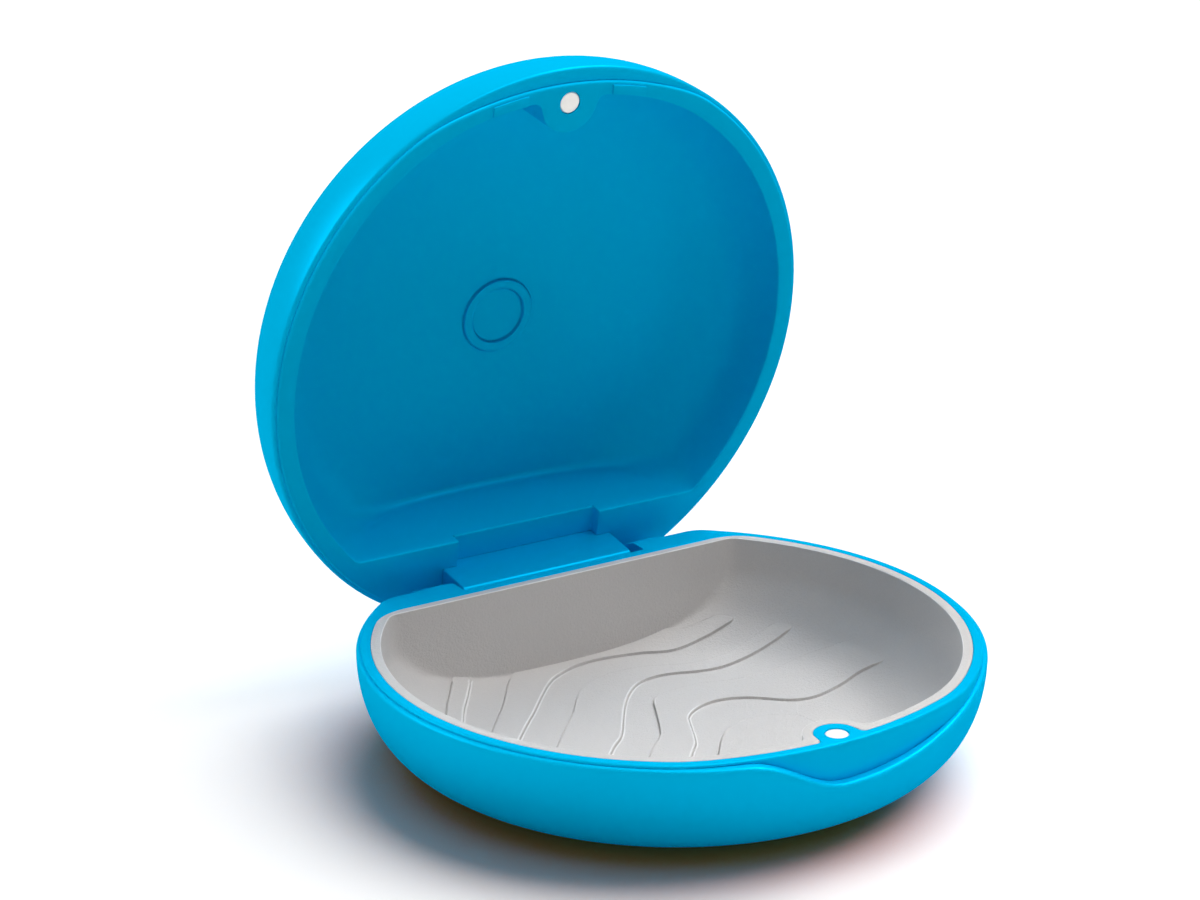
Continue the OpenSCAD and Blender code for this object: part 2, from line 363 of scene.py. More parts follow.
# a second, coarser grain: its scale beside the first one's, and its share of the relief
speckle = {"scale": 0.37, "share": 0.3}


def mouldedPlastic(name, look):
    # satin moulded plastic: a fine spark-eroded grain, faint flow clouds and a slightly uneven gloss
    finish = Finish(name)
    place = finish.node("ShaderNodeTexCoord", {}, {}, "Object")
    clouds = finish.noise(place, look["cloudScale"], detail=2.0, roughness=0.5)
    grain = finish.noise(place, look["grainScale"], detail=3.0, roughness=0.6)
    speck = finish.noise(place, look["grainScale"] * speckle["scale"], detail=1.0, roughness=0.5)
    # the tone stays centred on one half, whatever the mixes are
    middle = 0.5 * (1 - look["cloudMix"] - look["grainMix"])
    tone = clouds * look["cloudMix"] + grain * look["grainMix"] + middle
    colour = finish.blend(tone, look["shade"], look["light"])
    if "painted_highlight" in look:
        # painted highlight: the lips of the rim and of the raised bands are painted lighter where the light
        # catches them
        highlightMask = finish.node("ShaderNodeAttribute", {"attribute_name": "painted_highlight"}, {}, "Fac")
        colour = finish.blend(highlightMask, colour, look["painted_highlight"])
    gloss = grain * look["glossMix"] + speck * look["glossMix"] + (look["roughness"] - look["glossMix"])
    relief = grain * (1 - speckle["share"]) + speck * speckle["share"]
    bump = finish.bump(look, relief)
    surface = finish.node("ShaderNodeBsdfPrincipled", {}, {
        "Base Color": colour, "Roughness": gloss, "Normal": bump, "Specular IOR Level": look["specular"]})
    if look["polish"]:
        # the polish mirrors the lamps in the plastic's own colour
        sheen = finish.node("ShaderNodeBsdfAnisotropic", {}, {
            "Color": look["polishTint"], "Roughness": gloss, "Normal": bump})
        surface = finish.node("ShaderNodeMixShader", {}, {0: look["polish"], 1: surface, 2: sheen})
    finish.node("ShaderNodeOutputMaterial", {}, {"Surface": surface})
    return finish.material


def platedMetal(name, look):
    # plated or drawn metal with a faint haze
    finish = Finish(name)
    place = finish.node("ShaderNodeTexCoord", {}, {}, "Object")
    haze = finish.noise(place, look["hazeScale"], detail=4.0, roughness=0.6)
    colour = finish.blend(haze, look["shade"], look["light"])
    gloss = haze * look["hazeMix"] + (look["roughness"] - look["hazeMix"] / 2)
    surface = finish.node("ShaderNodeBsdfPrincipled", {}, {
        "Base Color": colour, "Roughness": gloss, "Metallic": look["metallic"],
        "Normal": finish.bump(look, haze)})
    finish.node("ShaderNodeOutputMaterial", {}, {"Surface": surface})
    return finish.material


bluePlastic = {
    "shade": rgb(0, 182, 232), "light": rgb(0, 190, 240), "cloudScale": 45, "cloudMix": 0.5,
    "grainScale": 7000, "grainMix": 0.35, "roughness": 0.34, "glossMix": 0.04,
    "specular": 0, "polish": 0.13, "polishTint": rgb(0, 195, 250), "bump": 0.1, "bumpDepth": 0.02,
}
# the grey's last colour is a painted highlight, laid on the lips of the rim and of the bands
greyPlastic = {
    "shade": rgb(204, 201, 199), "light": rgb(215, 212, 210), "cloudScale": 40, "cloudMix": 0.5,
    "grainScale": 4200, "grainMix": 0.9, "roughness": 0.42, "glossMix": 0.06,
    "specular": 0.35, "polish": 0, "bump": 0.8, "bumpDepth": 0.18, "painted_highlight": rgb(246, 245, 244),
}
bushPolymer = dict(
    bluePlastic, shade=rgb(0, 104, 152), light=rgb(0, 112, 162), cloudScale=60, grainScale=5000, grainMix=0.5,
    roughness=0.5, glossMix=0.06, specular=0.1, polish=0, bump=0.15)
nickelPlate = {
    "shade": rgb(240, 237, 233), "light": rgb(252, 250, 247), "hazeScale": 900, "hazeMix": 0.12,
    "roughness": 0.42, "metallic": 0.55, "bump": 0.08, "bumpDepth": 0.01,
}
drawnSteel = dict(
    nickelPlate, shade=rgb(176, 178, 182), light=rgb(204, 206, 210), hazeScale=1400, roughness=0.32,
    metallic=1.0)

shellFinish = mouldedPlastic("blue_shell", dict(bluePlastic, polish=0.17))
frameFinish = mouldedPlastic("blue_frame", bluePlastic)
liningFinish = mouldedPlastic("blue_liner", dict(bluePlastic, polish=0.08))
hingeFinish = mouldedPlastic("blue_hinge", dict(bluePlastic, polish=0.3))
trayFinish = mouldedPlastic("grey_tray", greyPlastic)
bushFinish = mouldedPlastic("bush_polymer", bushPolymer)
magnetFinish = platedMetal("magnet", nickelPlate)
pinFinish = platedMetal("pin_steel", drawnSteel)
print("finishes made")


# Base shell: the bowl with its thumb scoop and its low back under the hinge

baseShell = {
    "rows": 34, "rimRound": 0.5, "innerRound": 0.12, "corner": 2.2, "innerRows": 10,
    "scoopDepth": 4.8, "scoopLeft": 14.5, "scoopLow": 0.9, "scoopRight": 37,
    "landBack": 1.55, "swingGap": 0.35, "shelf": 0.9, "backRound": 0.5,
}
landBackY = hingeY - baseShell["landBack"]
lidCorner = math.hypot(case["back"] - hingeY, lidLand + rimStep - hingeZ) + baseShell["swingGap"]
shelfTop = hingeZ - math.sqrt(lidCorner ** 2 - (case["back"] - hingeY) ** 2)
shelfLow = shelfTop - baseShell["shelf"]


def scoopTop():
    # height of the base rim in each direction
    look = baseShell
    x, low = case["radius"] * cosTurn, -look["scoopLow"]
    left, right = ease(x, -look["scoopLeft"], low), ease(x, look["scoopRight"], low)
    drop = np.where(x < low, left, right) * (sinTurn < 0)
    return rim - (look["scoopDepth"] - rimStep) * drop


rimTop = scoopTop()


def makeBaseShell():
    look = baseShell
    edge = rimTop - look["rimRound"]
    bowl, plan = (case["radius"], rim, footShare), (unlimited, case["back"], look["corner"])
    rings = []
    for drop in bowlDrops(rim, look["rows"], footShare)[::-1]:
        height = (1 - drop / rim) * edge
        rings.append(bowlRing(bowl, plan, rim - height, height))
    outer = planShape(bowlRadius(case["radius"], rim, rim - edge, footShare), *plan)
    rings += edgeRings(outer, look["rimRound"], edge, steps=7)[1:]
    innerEdge = rimTop - look["innerRound"]
    depth = rim - wall
    bowl, plan = (innerRadius, depth, footShare), (innerFront, innerBack, look["corner"])
    hole = planShape(innerRadius, *plan)
    rings += edgeRings(hole, look["innerRound"], innerEdge, steps=4, side=-1)[::-1]
    for drop in bowlDrops(depth, look["innerRows"], footShare)[1:]:
        height = wall + (1 - drop / depth) * (innerEdge - wall)
        rings.append(bowlRing(bowl, plan, rim - height, height))
    shell = newMesh("base_shell", *loft(rings, (0, 0, 0), (0, 0, wall)))
    reach = 2 * case["radius"]
    backCut = block("back_cut", (-reach, landBackY, shelfTop), (reach, reach, reach), look["backRound"])
    combine(shell, "DIFFERENCE", backCut)
    settle(shell, "base", shellFinish, "base_outer_shell")


# Base frame: the land, the hinge pocket, the two ears and the shelf behind them

baseFrame = {
    "landWidth": 1.35, "edgeRound": 0.3, "seam": 0.09, "corner": 1.0, "trayCorner": 2.5, "bossWidth": 1.4,
    "pocketHalf": 14.5, "pocketFront": 4.65, "pocketDrop": 2.8, "earLength": 5, "earRadius": 2.28,
    "boreRadius": 1.53, "trayBack": 6.15, "skirtRows": 5, "holeRows": 4,
    "earRound": 0.15, "shelfRound": 0.2, "shelfInset": 0.4, "pocketRound": 0.45,
}
trayRadius = landRadius - baseFrame["landWidth"]
trayFront = case["frontRadius"] - baseFrame["landWidth"]
trayBackY = hingeY - baseFrame["trayBack"]
trayDepth = rim - wall - fit
baseBoss = magnetRadius + baseFrame["bossWidth"]


def makeEar(name, low, high):
    look = baseFrame
    reach = math.hypot(baseShell["landBack"], case["land"] - hingeZ)
    tangent = math.degrees(math.atan2(case["land"] - hingeZ, -baseShell["landBack"])
                           - math.acos(look["earRadius"] / reach))
    section = [(landBackY - overlap, case["land"]), (landBackY, case["land"])]
    section += roundSection((hingeY, hingeZ), look["earRadius"], tangent, -90, steps=24)
    section.append((landBackY - overlap, hingeZ - look["earRadius"]))
    return prism(name, section, low, high, look["earRound"], segments=2)


def makeBaseFrame():
    look = baseFrame
    bowl, plan = (skirtRadius, trayDepth, footShare), (case["frontRadius"], landBackY, look["corner"])
    land = planShape(landRadius, *plan)
    ledge = rimTop + fit
    rings = []
    for height in np.linspace(shelfLow, rim, look["skirtRows"]):
        height = np.minimum(height, ledge)
        rings.append(bowlRing(bowl, plan, rim - height, height, hair))
    rings.append(planRing(land, 0, ledge))
    edge = np.maximum(case["land"] - look["edgeRound"], ledge)
    rings += edgeRings(land, look["edgeRound"], edge, steps=6)
    bowl = (trayRadius + fit, trayDepth + fit, footShare)
    plan = (trayFront + fit, trayBackY + fit, look["trayCorner"], baseBoss)
    hole = planShape(trayRadius + fit, *plan)
    rings += edgeRings(hole, look["seam"], case["land"] - look["seam"], steps=4, side=-1)[::-1]
    for height in np.linspace(rim, shelfLow, look["holeRows"]):
        rings.append(bowlRing(bowl, plan, rim - height, height))
    piece = newMesh("base_frame_ring", *loft(rings, loop=True))
    half, ears = look["pocketHalf"], look["pocketHalf"] + look["earLength"]
    wide = 2 * case["radius"]
    shelfRadius = bowlRadius(skirtRadius, trayDepth, rim - shelfLow, footShare)
    shelfHalf = math.sqrt(shelfRadius ** 2 - innerBack ** 2) - look["shelfInset"]
    shelf = block("shelf", (-shelfHalf, landBackY - overlap, shelfLow + hair),
                  (shelfHalf, skirtBack, shelfTop), look["shelfRound"], segments=2)
    combine(piece, "UNION", makeEar("ear_right", half, ears), makeEar("ear_left", -ears, -half), shelf)
    pocketLow = (-half, hingeY - look["pocketFront"], hingeZ - look["pocketDrop"])
    combine(piece, "DIFFERENCE", block("pocket", pocketLow, (half, wide, wide), look["pocketRound"]))
    for low, high in ((-ears - overlap, -half), (half, ears + overlap)):
        bore = [(look["boreRadius"], low), (look["boreRadius"], high)]
        combine(piece, "DIFFERENCE", turnedPiece("bore", bore, hingeCentre, alongX=True))
    seat = [(magnetRadius + fit, magnetLow.z / mm - fit), (magnetRadius + fit, case["land"] + overlap)]
    combine(piece, "DIFFERENCE", turnedPiece("seat", seat, (0, magnetY, 0)))
    settle(piece, "base", frameFinish, "base_frame")


# Hollows: the tray's bowl and the lid's cavity are one smooth surface each, with any raised bands in it

def wallRadius(hollow, depth):
    return hollow["wall"] - hollow["draft"] * depth


def hollowField(hollow, flatBack=True):
    a, b = hollow["powers"]
    full = (hollow["depth"] - hollow["lip"]) / fullDepth(hollow["flat"], hollow["powers"])

    def field(p):
        x, y, w = p[:, 0], p[:, 1], p[:, 2]
        r = np.hypot(x, y)
        across, down = r / hollow["radius"], np.maximum(w - hollow["lip"], 0) / full
        slope = np.hypot(a * across ** (a - 1) / hollow["radius"], b * down ** (b - 1) / full)
        found = (across ** a + down ** b - 1) / (slope + 1e-6)
        found = smoothMax(found, w - hollow["depth"], hollow["floorBlend"])
        found = smoothMax(found, r - wallRadius(hollow, w), hollow["wallBlend"])
        found = smoothMax(found, np.hypot(x, y - frontCentre) - hollow["front"], hollow["frontBlend"])
        if flatBack:
            wide = ease(np.abs(x), hollow["cornerFrom"], hollow["cornerTo"])
            low = ease(w, 0, hollow["cornerReach"])
            corner = hollow["cornerTop"] + (hollow["cornerLow"] - hollow["cornerTop"]) * low
            blend = hollow["backBlend"] + (corner - hollow["backBlend"]) * wide
            found = smoothMax(found, y - hollow["back"], blend)
        return smoothMax(found, hollow["boss"] - np.hypot(x, y - magnetY), hollow["bossBlend"])
    return field


def hollowRing(hollow, depth):
    field = hollowField(hollow)
    return rootAlong(lambda p: field(p + (0, 0, depth)), outward, beyond) + (0, 0, depth)


def smoothLine(points, closed=False, spacing=0.2, perSpan=40):
    # a Catmull-Rom line through a few points, at an even spacing
    p = np.array(points, float)
    ends = (p[-1], p[:2]) if closed else (2 * p[0] - p[1], 2 * p[-1] - p[-2])
    p = np.vstack([ends[0], p, ends[1]])
    t = np.linspace(0, 1, perSpan, endpoint=False)[:, None]
    runs = []
    for a, b, c, d in zip(p, p[1:], p[2:], p[3:]):
        runs.append(0.5 * (2 * b + (c - a) * t + (2 * a - 5 * b + 4 * c - d) * t ** 2
                           + (3 * b - a - 3 * c + d) * t ** 3))
    line = np.vstack(runs + ([] if closed else [p[-2][None]]))
    return resample(line, spacing, closed)


def resample(line, spacing, closed):
    if closed:
        line = np.vstack([line, line[:1]])
    run = np.concatenate([[0], np.cumsum(np.hypot(*np.diff(line, axis=0).T))])
    spots = np.linspace(0, run[-1], max(fewest, int(run[-1] / spacing)), endpoint=not closed)
    return np.column_stack([np.interp(spots, run, line[:, k]) for k in (0, 1)])


# a band's outline: its first step, how many of them ease its corners, and the step of its mesh
bandLine = {"step": 0.15, "easing": 12, "spacing": 0.4}
# its lower edge gets a painted highlight where it climbs to the back: how near to it, and from what climb to
# what
highlightEdge = {"near": 0.5, "from": 0.1, "to": 0.6}


def apartFrom(points, loop):
    # each point's distance to the nearest point of a loop
    return np.min(np.hypot(points[:, :1] - loop[:, 0], points[:, 1:] - loop[:, 1]), axis=1)


def bandLoop(upper, lower, spread):
    # the outline of a band between two edges, with its corners eased, and how much painted highlight it gets
    below = smoothLine(lower)
    loop = resample(np.vstack([smoothLine(upper), below[::-1]]), bandLine["step"], True)
    reach = np.arange(-bandLine["easing"], bandLine["easing"] + 1)
    weights = np.exp(-0.5 * (reach * bandLine["step"] / spread) ** 2)
    weights /= weights.sum()
    eased = sum(w * np.roll(loop, -k, axis=0) for w, k in zip(weights, reach))
    eased = resample(eased, bandLine["spacing"], True)
    along = np.roll(eased, 1, axis=0) - np.roll(eased, -1, axis=0)
    climb = along[:, 1] / np.hypot(*along.T)
    highlight = ease(climb, highlightEdge["from"], highlightEdge["to"])
    return eased, highlight * (apartFrom(eased, below) < highlightEdge["near"])


def shifted(loop, distance):
    # the loop moved outwards
    along = np.roll(loop, -1, axis=0) - np.roll(loop, 1, axis=0)
    along /= np.hypot(*along.T)[:, None]
    area = np.sum(loop[:, 0] * np.roll(loop[:, 1], -1) - loop[:, 1] * np.roll(loop[:, 0], -1))
    side = np.column_stack([along[:, 1], -along[:, 0]]) * np.sign(area)
    return loop + side * distance


def insideLoop(points, loop):
    x, y = points[:, 0], points[:, 1]
    found = np.zeros(len(points), bool)
    for (ax, ay), (bx, by) in zip(loop, np.roll(loop, -1, axis=0)):
        crosses = (ay > y) != (by > y)
        found ^= crosses & (x < (bx - ax) * (y - ay) / (by - ay + 1e-12) + ax)
    return found


# across a band's edge, from its top to its foot: the distance, the share of its height, and the share of
# painted highlight
bandEdge = [
    (-0.34, 1.0, 0), (-0.24, 1.0, 0.5), (-0.14, 1.2, 1), (-0.06, 1.12, 1), (-0.01, 0.2, 0), (0.03, -0.7, 0),
    (0.1, -0.7, 0), (0.15, 0.05, 1), (0.23, 0.22, 1), (0.33, 0.02, 0.6), (0.43, 0.0, 0),
]
# rows of points along the corner by a hollow's flat back, and how far from it bands run straight up
backCorner = {"offsets": (0.1, 0.3, 0.55, 0.85), "spacing": 0.3, "half": 24, "zone": 1.0}
# points along the section, room left by the rim and by a band, how far out to look, and a step for slopes
hollowMesh = {"section": 300, "rimRoom": 0.4, "bandRoom": 0.5, "stretch": 1.6, "nudge": 0.002}


def hollowSection(hollow, topDepth):
    # radius and depth along the section of the plain bowl, and the length run along it
    bowl = hollow["depth"] - hollow["lip"]
    drops = bowlDrops(bowl, hollowMesh["section"], hollow["flat"], hollow["powers"])[::-1]
    radii = bowlRadius(hollow["radius"], bowl, drops, hollow["flat"], hollow["powers"])
    depths = np.concatenate([[hollow["depth"]], drops + hollow["lip"], [topDepth]])
    radii = np.minimum(np.concatenate([[0], radii, [hollow["radius"]]]), wallRadius(hollow, depths))
    run = np.concatenate([[0], np.cumsum(np.hypot(np.diff(radii), np.diff(depths)))])
    return radii, depths, run


def unrolled(plan, radii, run):
    # places in plan, moved out to their length along the section
    r = np.hypot(plan[:, 0], plan[:, 1])
    return plan * (np.interp(r, radii, run) / np.maximum(r, 1e-9))[:, None]


def floorUnder(hollow, x, y):
    # depth of the bowl below a place, as if it had no flat back
    field = hollowField(hollow, False)
    above = np.column_stack([x, y, 0 * x])
    downward = np.tile((0.0, 0.0, 1.0), (x.size, 1))
    return rootAlong(lambda p: field(p + above), downward, hollow["depth"] + overlap)[:, 2]


def hollowGrid(hollow, radii, depths, run):
    # evenly spread places, and rows close along the corner by the flat back
    spacing = hollow["spacing"]
    grid = [np.zeros((1, 2))]
    for k, s in enumerate(np.arange(spacing, run[-1] - hollowMesh["rimRoom"] * spacing, spacing)):
        around = max(fewest, int(2 * np.pi * np.interp(s, run, radii) / spacing))
        angles = (np.arange(around) + 0.5 * (k % 2)) * 2 * np.pi / around
        grid.append(s * np.column_stack([np.cos(angles), np.sin(angles)]))
    x = np.arange(-backCorner["half"], backCorner["half"], backCorner["spacing"])
    for offset in backCorner["offsets"]:
        for y, rise in ((hollow["back"] - offset, 0), (hollow["back"], offset)):
            r = np.hypot(x, y)
            s = np.interp(r / (floorUnder(hollow, x, 0 * x + y) - rise), radii / depths, run)
            grid.append(np.column_stack([x, 0 * x + y]) * (s / r)[:, None])
    return np.vstack(grid)


def hollowPlan(hollow, loops, radii, depths, run):
    # the places of the mesh, each with its share of a band's height and its painted highlight, and the lines
    # to keep
    spots = [run[-1] * outward[:, :2]]
    shares, painted_highlight = [np.zeros(turns.size)], [np.zeros(turns.size)]
    edges = [(i, (i + 1) % turns.size) for i in range(turns.size)]
    total = turns.size
    grid = hollowGrid(hollow, radii, depths, run)
    keep, high = np.ones(len(grid), bool), np.zeros(len(grid))
    for loop, side, highlight in loops:
        for distance, share, bright in bandEdge:
            row = unrolled(shifted(loop, side * distance), radii, run)
            edges += [(total + i, total + (i + 1) % len(row)) for i in range(len(row))]
            spots.append(row)
            shares.append(np.full(len(row), share))
            painted_highlight.append(np.full(len(row), bright * highlight))
            total += len(row)
        flat = unrolled(loop, radii, run)
        keep &= apartFrom(grid, flat) >= hollowMesh["bandRoom"]
        high += side * insideLoop(grid, flat)
    spots.append(grid[keep])
    shares.append(high[keep])
    painted_highlight.append(0 * high[keep])
    return np.vstack(spots), np.concatenate(shares), np.concatenate(painted_highlight), edges


def hollowSurface(hollow, loops, topDepth):
    # each loop is an outline, 1 or -1 for a raised or a sunk inside, and how much painted highlight it gets
    radii, depths, run = hollowSection(hollow, topDepth)
    spots, shares, painted_highlight, edges = hollowPlan(hollow, loops, radii, depths, run)
    # triangles inside the rim, which keep the lines
    corners, _, triangles, origins, _, _ = delaunay_2d_cdt(
        [Vector(s) for s in spots], edges, [], 1, 1e-6)
    # a corner where two lines cross takes after the nearest point
    source = np.array([o[0] if o else np.argmin(np.hypot(*(spots - np.array(v)).T)) + len(spots)
                       for o, v in zip(origins, corners)])
    shares, painted_highlight = shares[source % len(spots)], painted_highlight[source % len(spots)]
    spots = np.array([tuple(v) for v in corners])

    # each one goes down onto the hollow, and then off it by its share of a band's height
    s = np.hypot(spots[:, 0], spots[:, 1])
    r, w = np.interp(s, run, radii), np.interp(s, run, depths)
    aim = np.column_stack([spots * (r / np.maximum(s, 1e-9))[:, None], w])
    points = rootAlong(hollowField(hollow), aim, hollowMesh["stretch"])
    bare, nudges = hollowField(hollow, False), hollowMesh["nudge"] * np.eye(3)
    slope = np.column_stack([bare(points + nudge) - bare(points - nudge) for nudge in nudges])
    slope /= np.linalg.norm(slope, axis=1)[:, None]
    fade = ease(points[:, 2], hollow["fadeTop"], hollow["fadeLow"])
    rise = hollow["raise"] * shares * fade
    painted_highlight = painted_highlight * fade * (points[:, 1] < hollow["back"] - highlightEdge["near"])
    # bands run straight up to the flat back, and elsewhere they stand square on the bowl
    close = points[:, 1] > hollow["back"] - backCorner["zone"]
    lifted = floorUnder(hollow, points[:, 0], points[:, 1]) - rise
    points[:, 2] = np.where(close, np.minimum(points[:, 2], lifted), points[:, 2])
    points -= slope * np.where(close, 0, rise)[:, None]
    # the ring at the top comes first, in order
    order = np.argsort(np.where(source < turns.size, source, turns.size + np.arange(source.size)))
    place = np.empty_like(order)
    place[order] = np.arange(order.size)
    points = points[order]
    points[:turns.size] = hollowRing(hollow, topDepth)
    return points, [tuple(int(place[i]) for i in f) for f in triangles], painted_highlight[order]


def sew(points, faces, hollowPoints, hollowFaces, ring):
    # joins a hollow to the loft's ring that it starts from
    shift = len(points) - turns.size
    points += list(hollowPoints[turns.size:])
    faces += [tuple(i + (ring if i < turns.size else shift) for i in f) for f in hollowFaces]


# Tray: a grey bowl with a flat rim and low wavy bands across its floor

# the curve of the lip gets a painted highlight, at the share given in this table
tray = {
    "rimWidth": 1.3, "floor": 0.95, "backWall": 1.1, "seam": 0.06, "lipRound": 0.14, "corner": 2.5,
    "rows": 12, "bandCorner": 0.5, "lipHighlight": 0.9, "bowlInset": 0.65,
}
trayHollow = {
    "radius": trayRadius - tray["bowlInset"], "wall": trayRadius - tray["rimWidth"], "draft": 0.05,
    "wallBlend": 0.3, "front": trayFront - tray["rimWidth"], "back": trayBackY - tray["backWall"],
    "boss": baseBoss + fit + tray["rimWidth"], "powers": (5.2, 2.0), "flat": 0.6,
    "lip": rimStep, "depth": rimStep + trayDepth - tray["floor"],
    "floorBlend": 1.2, "frontBlend": 0.8, "backBlend": 0.3, "bossBlend": 1.6,
    "cornerTop": 0.7, "cornerLow": 1.1, "cornerReach": 8, "cornerFrom": 17, "cornerTo": 27,
    "spacing": 0.75, "raise": 0.3, "fadeTop": 9.9, "fadeLow": 11.2,
}
# each band: its upper edge and its lower edge, from the front left to its far end
waveBands = [
    ([(-30.5, 6.5), (-23.2, 18.8), (-20.5, 22.7), (-16.8, 27.8)],
     [(-28.8, 5.2), (-21.7, 17.1), (-18.2, 22), (-14.2, 27.5)]),
    ([(-29.5, 0.5), (-19.6, 13.2), (-14.9, 18.7), (-9.5, 25.2), (-3, 29.5), (8, 30.5), (15, 27),
      (18.6, 25), (23.7, 23.8)],
     [(-29.5, -4.5), (-18.2, 8.6), (-12.5, 14.6), (-6, 21.7), (-3, 23.7), (0.8, 24.9), (4.9, 25),
      (10.5, 23.7), (14.8, 21.9), (20.2, 21.8), (25.4, 21.7)]),
    ([(-27, -10), (-15, 4), (-7.9, 11.7), (-4.6, 16), (-1.4, 18.8), (2.5, 20.5), (8.5, 20.2), (14, 17.9),
      (20.3, 17), (25.1, 17.5), (28.9, 17.1)],
     [(-22.5, -15.5), (-10.5, -1.8), (-6.5, 2), (-2.2, 8.1), (0.9, 12.1), (4.3, 15.2), (7.4, 16.2),
      (10.6, 16), (14.5, 14.6), (18.4, 14.1), (25.4, 14.6), (30.4, 14.6)]),
    ([(-18.5, -19), (-6.5, -5.1), (-2.5, -1.2), (-0.7, 1.5), (2, 6.7), (3.4, 9.3), (5, 10.6), (7.5, 11.2),
      (12, 11.1), (17, 9.6), (22, 9.2), (26.8, 9.4), (30.2, 8.3), (33.3, 6)],
     [(-13.8, -22.2), (-2.1, -8.1), (0.6, -5), (3.2, 0.1), (4.7, 2.7), (7.8, 4.5), (11.3, 4.9), (14.6, 3.7),
      (17.2, 1.6), (19.4, -0.4), (22.7, -1.4), (27, -0.8), (30.6, -0.5), (34, -2.3)]),
    ([(-9, -23), (1.3, -9.5), (4.5, -5.6), (6.9, -3.6), (10, -2.4), (14, -2.8), (17.5, -5.2)],
     [(-4.5, -25), (3.5, -16.5), (9, -14), (14, -13), (18.3, -12)]),
]


def makeTray():
    look = tray
    bowl, plan = (trayRadius, trayDepth, footShare), (trayFront, trayBackY, look["corner"], baseBoss + fit)
    drops = bowlDrops(trayDepth, look["rows"], footShare)[::-1]
    rings = [bowlRing(bowl, plan, drop, rim - drop) for drop in drops]
    outer = planShape(trayRadius, *plan)
    rings += edgeRings(outer, look["seam"], case["land"] - look["seam"], steps=4)
    lip = hollowRing(trayHollow, look["lipRound"])
    lipStart = len(rings) + 1
    for inset, rise in rounding(look["lipRound"], steps=6)[:0:-1]:
        rings.append(lip * (1, 1, 0) + outward * inset + (0, 0, case["land"] - look["lipRound"] + rise))
    bands = [bandLoop(upper, lower, look["bandCorner"]) for upper, lower in waveBands]
    loops = [(loop, 1, highlight) for loop, highlight in bands]
    hollowPoints, hollowFaces, painted_highlight = hollowSurface(trayHollow, loops, look["lipRound"])
    hollowPoints = hollowPoints * (1, 1, -1) + (0, 0, case["land"])
    rings.append(hollowPoints[:turns.size])
    points, faces = loft(rings, (0, 0, rim - trayDepth))
    first, last = len(points), (len(rings) - 1) * turns.size
    sew(points, faces, hollowPoints, hollowFaces, last)
    piece = newMesh("tray_bowl", points, faces)
    # painted highlight for the finish: edges of the bands, and the curve of the lip
    highlight = np.concatenate([np.zeros(first), painted_highlight[turns.size:]])
    highlight[lipStart * turns.size:last] = look["lipHighlight"]
    piece.data.attributes.new("painted_highlight", "FLOAT", "POINT").data.foreach_set("value", highlight)
    settle(piece, "base", trayFinish, "tray_liner", sharp=60)


# Lid shell: a dome with the same rim

lidShell = {"rows": 34, "rimRound": 0.5, "innerRound": 0.03, "corner": 2.2, "innerRows": 10, "crown": 16.2}
lidRim = lidLand + rimStep
domeDepth = lidShell["crown"] - rimStep


def makeLidShell():
    look = lidShell
    depth = domeDepth - wall
    bowl, plan = (innerRadius, depth, 0), (innerFront, innerBack, look["corner"])
    drops = bowlDrops(depth, look["innerRows"])[-2:0:-1]
    rings = [bowlRing(bowl, plan, drop, lidRim + drop) for drop in drops]
    soft, edge = look["innerRound"], look["rimRound"]
    rings += edgeRings(planShape(innerRadius, *plan), soft, lidRim + soft, steps=4, side=-1, up=-1)
    bowl, plan = (case["radius"], domeDepth, 0), (unlimited, case["back"], look["corner"])
    outer = planShape(bowlRadius(case["radius"], domeDepth, edge), *plan)
    rings += edgeRings(outer, edge, lidRim + edge, steps=7, up=-1)[:0:-1]
    drops = edge + bowlDrops(domeDepth, look["rows"])[:-1] * (1 - edge / domeDepth)
    rings += [bowlRing(bowl, plan, drop, lidRim + drop) for drop in drops]
    piece = newMesh("lid_shell", *loft(rings, (0, 0, lidRim + depth), (0, 0, lidRim + domeDepth)))
    settle(piece, "lid", shellFinish, "lid_outer_shell")


# Lid lining: the land with its ridge, the cavity, the magnet's boss and the hinge notch

lidLining = {
    "landWidth": 2.55, "frontWidth": 1.95, "cavity": 13.4, "cavityBack": 6.85, "wall": 1.2, "bossWidth": 2.7,
    "ridgeRound": 0.37, "lipRound": 0.2, "corner": 1.6, "plate": 2.75, "rows": 10,
    "notchHalf": 11.3, "notchDepth": 1.55, "notchRound": 0.2, "notchFillet": 0.3,
    "knuckleHalf": 13.5, "knuckleFront": 2.95, "knuckleRadius": 2.45,
    "padHeight": 0.2, "padWidth": 5.2, "padFrom": 6.4, "padEdge": 0.5, "padLip": 0.1, "padRound": 0.08,
    "padPoints": 9, "skirtMiddle": 1.5, "notchLap": 0.5, "cutterReach": 3,
}
lidHollow = {
    "radius": landRadius - lidLining["landWidth"], "wall": unlimited, "draft": 0,
    "wallBlend": 0.1, "front": case["frontRadius"] - lidLining["frontWidth"],
    "back": hingeY - lidLining["cavityBack"], "boss": magnetRadius + lidLining["bossWidth"],
    "powers": case["powers"], "flat": 0, "lip": rimStep, "depth": lidLining["cavity"],
    "floorBlend": 0.5, "frontBlend": 0.8, "backBlend": 0.9, "bossBlend": 1.6,
    "cornerTop": 0.5, "cornerLow": 2.6, "cornerReach": 6, "cornerFrom": 16, "cornerTo": 26,
    "spacing": 0.75, "raise": 0.35, "fadeTop": 8, "fadeLow": 10,
}
# a plain raised ring in the middle of the cavity
lidRing = {"outer": 5.4, "inner": 4.1, "points": 16}


def circleLoop(radius, count):
    around = np.linspace(0, 2 * np.pi, count, endpoint=False)
    circle = radius * np.column_stack([np.cos(around), np.sin(around)])
    return smoothLine(circle, True, bandLine["spacing"])


